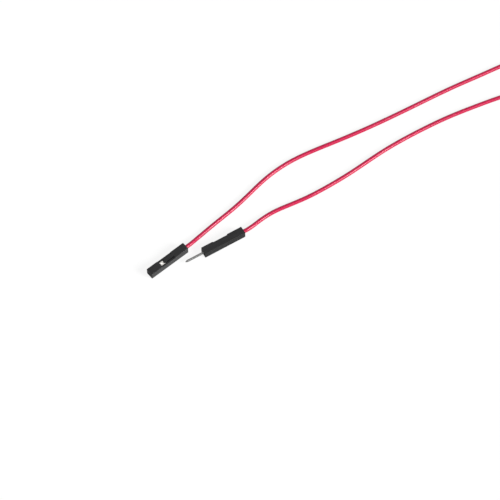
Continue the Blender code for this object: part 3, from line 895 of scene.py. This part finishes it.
def housing_mesh(plan, housing):
    """One moulding: a block with rounded edges, its forms in turn, and the roundings where they meet."""
    bm = bmesh.new()
    bmesh.ops.create_cube(bm, size=1.0)
    bmesh.ops.scale(bm, verts=bm.verts, vec=(plan.length, 2 * plan.half, 2 * plan.half))
    bmesh.ops.translate(bm, verts=bm.verts, vec=(plan.length / 2, 0.0, 0.0))
    bmesh.ops.bevel(
        bm, geom=bm.edges[:], offset=housing.edge_radius, segments=4, profile=0.5, affect="EDGES"
    )
    body = finished(bm, "housing")
    for operation, form in (*openings(plan, housing), *latch(plan, housing), *tool_marks(plan, housing)):
        body = combined(body, form, operation)
    return rounded_edges(body, housing.cut_radius, PLASTIC_SHARP)


# Terminals: each half of the sheet's section is a line of points from the middle of its floor

def even(start, stop, count):
    return [start + (stop - start) * i / (count - 1) for i in range(count)]


def straight(start, stop, count):
    return list(zip(even(start[0], stop[0], count), even(start[1], stop[1], count)))


def arc(centre, radius, start, stop, count):
    angles = [math.radians(a) for a in even(start, stop, count)]
    return [(centre[0] + radius * math.cos(a), centre[1] + radius * math.sin(a)) for a in angles]


def joined(*stretches):
    """One line from stretches that share their end points."""
    line = list(stretches[0])
    for stretch in stretches[1:]:
        line += stretch[1:]
    return line


def box_profile(plan, terminal):
    h, c, seam = plan.box_half - terminal.sheet / 2, terminal.fold_radius, terminal.seam_gap / 2
    return joined(
        straight((0.0, -h), (h - c, -h), FLOOR_POINTS),
        arc((h - c, c - h), c, -90, 0, FOLD_POINTS),
        straight((h, c - h), (h, h - c), WALL_POINTS),
        arc((h - c, h - c), c, 0, 90, FOLD_POINTS),
        straight((h - c, h), (seam + terminal.seam_bend, h), ROOF_POINTS - 1),
        [(seam + terminal.seam_bend, h), (seam, h - terminal.seam_dip)],
    )


def channel_profile(floor, terminal):
    w, c = (terminal.channel_width - terminal.sheet) / 2, terminal.fold_radius
    return joined(
        straight((0.0, floor), (w - c, floor), FLOOR_POINTS),
        arc((w - c, floor + c), c, -90, 0, FOLD_POINTS),
        straight((w, floor + c), (w, 0.0), PROFILE_POINTS - FLOOR_POINTS - FOLD_POINTS + 2),
    )


def barrel_profile(inner_radius, sweep, terminal):
    return arc((0.0, 0.0), inner_radius + terminal.sheet / 2, -90, math.degrees(sweep) - 90, PROFILE_POINTS)


def sheet_ring(x, half_profile, thickness, groove):
    """The closed outline of the sheet's section at x: its outer side, then back along its inner side."""
    line = [Vector((-y, z)) for y, z in reversed(half_profile[1:])] + [Vector(p) for p in half_profile]
    outer, inner = [], []
    for i, point in enumerate(line):
        before = (point - line[i - 1]).normalized() if i else None
        after = (line[i + 1] - point).normalized() if i + 1 < len(line) else None
        before, after = before or after, after or before
        along = (before + after).normalized()
        out = Vector((along.y, -along.x)) / along.dot(before)
        outer.append(point + out * thickness / 2)
        inner.append(point - out * (thickness / 2 - groove))
    return [(x, p.x, p.y) for p in outer + inner[::-1]]


def formed(stations):
    """Adds sections between the stations, so that the sheet flows from each form into the next."""
    full = []
    for (x0, form0), (x1, form1) in zip(stations, stations[1:]):
        count = max(SHEET_STEPS if form0 != form1 else 1, round((x1 - x0) / SHEET_STEP))
        for k in range(count):
            share = k / count
            ease = share * share * (3 - 2 * share)
            form = [(a[0] + (b[0] - a[0]) * ease, a[1] + (b[1] - a[1]) * ease) for a, b in zip(form0, form1)]
            full.append((x0 + (x1 - x0) * share, form))
    return full + [stations[-1]]


def groove_at(x, plan, terminal):
    """The depth of the grooves across the inside of the core crimp, which bite into the strands."""
    pitch = terminal.core_crimp_length / (GROOVES + 1)
    for number in range(1, GROOVES + 1):
        off = abs(x - plan.core_start - number * pitch) / (pitch * GROOVE_WIDTH)
        if off < 1:
            return terminal.groove_depth * (1 - off)
    return 0.0


def dimpled(point, plan, terminal):
    """Pushes the box's floor in where the stiffening dimple is."""
    x, y, z = point
    middle = (plan.box_start + plan.box_end) / 2
    near = math.hypot((x - middle) / (terminal.dimple_length / 2), y / (terminal.dimple_width / 2))
    if near >= 1 or z > terminal.sheet - plan.box_half:
        return point
    return (x, y, z + terminal.dimple_depth * (1 - near * near) ** 2)


def sheet_mesh(box_start, plan, terminal):
    """The folded sheet that both terminals share, with its sheared edges in the second material."""
    box = box_profile(plan, terminal)
    core_inside = plan.core_radius + terminal.crimp_clearance
    jacket_inside = plan.jacket_radius + terminal.crimp_clearance
    core = barrel_profile(core_inside, terminal.core_crimp_sweep, terminal)
    bell = barrel_profile(core_inside + terminal.bell_flare, terminal.core_crimp_sweep, terminal)
    cradle = barrel_profile(jacket_inside, terminal.cradle_sweep, terminal)
    grip = barrel_profile(jacket_inside, terminal.jacket_crimp_sweep, terminal)
    channel = channel_profile(box[0][1], terminal)
    waist = channel_profile(core[0][1], terminal)
    shoulder, bell_length = terminal.shoulder, terminal.bell_length
    stations = formed([
        (box_start, box),
        (plan.box_end, box),
        (plan.box_end + shoulder, channel),
        ((plan.box_end + plan.core_start) / 2, channel),
        (plan.core_start - shoulder, waist),
        (plan.core_start, bell),
        (plan.core_start + bell_length, core),
        (plan.core_end - bell_length, core),
        (plan.core_end, bell),
        (plan.core_end + shoulder, waist),
        (plan.jacket_start - shoulder, cradle),
        (plan.grip_start - shoulder, cradle),
        (plan.grip_start, grip),
        (plan.grip_end, grip),
    ])
    bm = bmesh.new()
    rows = []
    for x, form in stations:
        ring = sheet_ring(x, form, terminal.sheet, groove_at(x, plan, terminal))
        rows.append([bm.verts.new(dimpled(point, plan, terminal)) for point in ring])
    count = len(rows[0])
    half = count // 2
    for low, high in zip(rows, rows[1:]):
        for i in range(count):
            j = (i + 1) % count
            face = bm.faces.new((low[i], low[j], high[j], high[i]))
            face.material_index = 1 if i in (half - 1, count - 1) else 0
    for row in (rows[0], rows[-1]):
        for i in range(half - 1):
            face = bm.faces.new((row[i], row[i + 1], row[count - 2 - i], row[count - 1 - i]))
            face.material_index = 1
    return rounded_edges(finished(bm, "sheet"), terminal.sheet / 10, METAL_SHARP)


def eased(share, keys):
    """Reads a value between keys of (share, value), flowing smoothly from each to the next."""
    for (s0, v0), (s1, v1) in zip(keys, keys[1:]):
        if share <= s1:
            t = (share - s0) / (s1 - s0)
            return v0 + (v1 - v0) * t * t * (3 - 2 * t)
    return keys[-1][1]


def spring_mesh(sign, plan, terminal):
    """One leaf: rooted in the box's side wall, bowed in to the pin and out again at its free end."""
    wall = plan.box_half - terminal.sheet / 2
    grip = (terminal.spring_gap + terminal.spring_thickness) / 2
    free = (wall - terminal.sheet / 2 + grip) / 2
    keys = [(0.0, wall), (SPRING_ROOT, wall), *[(share, grip) for share in SPRING_GRIP], (1.0, free)]
    thick = terminal.spring_thickness / 2
    rings = []
    for share in even(0.0, 1.0, SPRING_SECTIONS):
        y = eased(share, keys)
        x = plan.box_start + terminal.spring_setback + share * terminal.spring_length
        narrowed = SPRING_TIP_WIDTH + (1.0 - SPRING_TIP_WIDTH) * (1.0 - share) / SPRING_TIP
        half = terminal.spring_width / 2 * min(1.0, narrowed)
        near, far = sign * (y - thick), sign * (y + thick)
        rings.append([(x, near, -half), (x, far, -half), (x, far, half), (x, near, half)])
    return loft(rings)


def socket_mesh(plan, terminal):
    mesh = sheet_mesh(plan.box_start, plan, terminal)
    for sign in (1, -1):
        mesh = combined(mesh, spring_mesh(sign, plan, terminal), "UNION")
    return mesh


def pin_mesh(plan, terminal, box_start):
    """The square pin, folded from the same strip and coined to a blunt tip, with the fold's groove in it."""
    root = plan.box_half - terminal.sheet / 2
    half, tip, corner = terminal.pin_side / 2, terminal.pin_tip_side / 2, terminal.pin_corner
    front, nose = -terminal.pin_reach, terminal.pin_tip_rounding
    pin = loft([
        *[rounded_square(front + nose * x, tip + nose * past, nose * r) for x, past, r in PIN_ROUNDING],
        rounded_square(front + terminal.pin_tip_length, half, corner),
        rounded_square(plan.box_start, half, corner),
        rounded_square(box_start + terminal.sheet / 2, root, terminal.fold_radius),
        rounded_square(box_start + terminal.pin_root_length, root, terminal.fold_radius),
    ])
    start, stop = front + terminal.pin_fold_start, plan.box_start - terminal.sheet
    width, depth = terminal.sheet / 10, terminal.sheet / 8
    fold = [(-width, half + width), (width, half + width), (0.0, half - depth)]
    return combined(pin, prism(fold, start, stop, 0), "DIFFERENCE")


def pin_terminal_mesh(plan, terminal):
    """The pin widens to the box behind the front wall, which keeps it from being pulled out."""
    box_start = plan.box_start + terminal.pin_root_taper
    sheet, pin = sheet_mesh(box_start, plan, terminal), pin_mesh(plan, terminal, box_start)
    return without_slivers(combined(sheet, pin, "UNION"))


# Operators

class JUMPER_OT_stage(bpy.types.Operator):
    """Sets the camera, the white card, the lamps and the white surroundings"""
    bl_idname = "jumper.make_stage"
    bl_label = "Make Stage"

    def execute(self, context):
        stage = context.scene.jumper_wire.stage
        scene = context.scene
        scene.view_settings.view_transform = "Standard"

        camera = bpy.data.objects.new("camera", bpy.data.cameras.new("camera"))
        scene.collection.objects.link(camera)
        back = Vector((0.0, -math.cos(stage.elevation), math.sin(stage.elevation)))
        camera.location = Vector(stage.target) + back * stage.distance
        camera.rotation_euler = (math.pi / 2 - stage.elevation, 0.0, 0.0)
        camera.data.sensor_width = stage.sensor_width
        camera.data.lens = stage.sensor_width * stage.distance / stage.view_width
        camera.data.clip_start = stage.distance / 100
        scene.camera = camera

        bm = bmesh.new()
        bmesh.ops.create_grid(bm, x_segments=1, y_segments=1, size=stage.floor_size / 2)
        card = bpy.data.objects.new("white_card", finished(bm, "white_card"))
        card.location = (0.0, 0.0, -stage.floor_drop)
        card.data.materials.append(white_card(stage))
        scene.collection.objects.link(card)
        card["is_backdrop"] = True

        lamps = (
            ("key_lamp", stage.key_light, stage.key_spread, stage.key_lean, stage.key_turn),
            ("fill_lamp", stage.fill_light, stage.fill_spread, stage.fill_lean, stage.fill_turn),
        )
        for name, strength, spread, lean, turn in lamps:
            lamp = bpy.data.objects.new(name, bpy.data.lights.new(name, "SUN"))
            lamp.data.energy = strength
            lamp.data.angle = spread
            lamp.rotation_euler = (lean, 0.0, turn)
            scene.collection.objects.link(lamp)

        world = bpy.data.worlds.new("white_surroundings")
        world.use_nodes = True
        tree = world.node_tree
        tree.nodes.clear()
        lighting = add_node(tree, "Background", {"Color": WHITE, "Strength": stage.world_light})
        shown = add_node(tree, "Background", {"Color": WHITE, "Strength": 1.0})
        add_node(tree, "OutputWorld", {"Surface": seen_apart(tree, lighting, shown)})
        scene.world = world
        return {"FINISHED"}


class JUMPER_OT_jacket(bpy.types.Operator):
    """Lays the red insulation along its route, from one housing into the other"""
    bl_idname = "jumper.make_jacket"
    bl_label = "Make Jacket"

    def execute(self, context):
        settings = context.scene.jumper_wire
        wire, plan = settings.wire, Plan(settings)
        line = wire_line(plan, wire)
        mesh = jacket_mesh(line, plan, settings)
        jacket = add_piece(
            "red_jacket", mesh, Matrix.Identity(4), ["wire_jacket"], [extruded_pvc(wire)]
        )
        mesh.set_sharp_from_angle(angle=PLASTIC_SHARP)
        tuple(ENDS["female"].at(plan.length))
        return {"FINISHED"}


class JUMPER_OT_strands(bpy.types.Operator):
    """Twists the seven tinned copper strands of each end"""
    bl_idname = "jumper.make_strands"
    bl_label = "Make Strands"

    def execute(self, context):
        settings = context.scene.jumper_wire
        wire, plan = settings.wire, Plan(settings)
        finishes = [
            drawn_copper("drawn_tinned_copper", wire.strand_colour, 0.3),
            drawn_copper("cut_copper", wire.cut_colour, 0.4),
        ]
        for side, end in ENDS.items():
            for number in range(1 + wire.outer_strands):
                mesh = strand_mesh(number, plan, wire)
                node = f"{side}_strand_{number + 1}"
                add_piece(f"{side}_copper_{number + 1}", mesh, end.place, [node], finishes)
                mesh.set_sharp_from_angle(angle=METAL_SHARP)
        return {"FINISHED"}


class JUMPER_OT_housings(bpy.types.Operator):
    """Moulds the two black housings"""
    bl_idname = "jumper.make_housings"
    bl_label = "Make Housings"

    def execute(self, context):
        settings = context.scene.jumper_wire
        plan = Plan(settings)
        nylon = moulded_nylon(settings.housing, plan.half)
        mesh = housing_mesh(plan, settings.housing)
        for side, end in ENDS.items():
            node = side + "_housing"
            keep_flats(add_piece(side + "_shell", mesh.copy(), end.place, [node], [nylon]))
        bpy.data.meshes.remove(mesh)
        return {"FINISHED"}


class JUMPER_OT_terminals(bpy.types.Operator):
    """Folds the socket terminal and the pin terminal"""
    bl_idname = "jumper.make_terminals"
    bl_label = "Make Terminals"

    def execute(self, context):
        settings = context.scene.jumper_wire
        plan, terminal = Plan(settings), settings.terminal
        edge = sheared_bronze(terminal.sheared_colour)
        tin = plated_sheet("stamped_tin_plate", terminal.tin_colour, 0.2, 0.36)
        # The pin's dark grey is a painted reflection of dim surroundings, not the colour of nickel plate
        nickel = plated_sheet("stamped_nickel_plate_painted_reflection", terminal.nickel_painted_dark_reflection_colour, 0.3, 0.46)
        pieces = (
            ("socket_contact", socket_mesh(plan, terminal), ENDS["female"], "female_terminal", tin),
            ("pin_contact", pin_terminal_mesh(plan, terminal), ENDS["male"], "male_terminal", nickel),
        )
        for name, mesh, end, node, plate in pieces:
            keep_flats(add_piece(name, mesh, end.place, [node], [plate, edge]))
        return {"FINISHED"}


class JUMPER_PT_panel(bpy.types.Panel):
    """Lists the operators and the settings of the jumper wire"""
    bl_idname = "JUMPER_PT_panel"
    bl_label = "Jumper Wire"
    bl_space_type = "VIEW_3D"
    bl_region_type = "UI"
    bl_category = "Jumper Wire"

    def draw(self, context):
        settings = context.scene.jumper_wire
        for operator in OPERATORS:
            self.layout.operator(operator.bl_idname)
        for group in (settings.stage, settings.wire, settings.housing, settings.terminal):
            box = self.layout.box()
            for name in group.__annotations__:
                box.prop(group, name)


# In the order in which they run
OPERATORS = (JUMPER_OT_stage, JUMPER_OT_jacket, JUMPER_OT_strands, JUMPER_OT_housings, JUMPER_OT_terminals)
GROUPS = (WireSettings, HousingSettings, TerminalSettings, StageSettings, JumperWireSettings)


def register():
    for cls in (*GROUPS, *OPERATORS, JUMPER_PT_panel):
        bpy.utils.register_class(cls)
    bpy.types.Scene.jumper_wire = PointerProperty(type=JumperWireSettings)


def unregister():
    del bpy.types.Scene.jumper_wire
    for cls in reversed((*GROUPS, *OPERATORS, JUMPER_PT_panel)):
        bpy.utils.unregister_class(cls)


def main():
    register()
    bpy.ops.jumper.make_stage()
    bpy.ops.jumper.make_jacket()
    bpy.ops.jumper.make_strands()
    bpy.ops.jumper.make_housings()
    bpy.ops.jumper.make_terminals()
    boxes = {"cad": CAD_BOX, "visual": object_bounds()}
    {name: [list(corner) for corner in box] for name, box in boxes.items()}


if __name__ == "__main__":
    main()
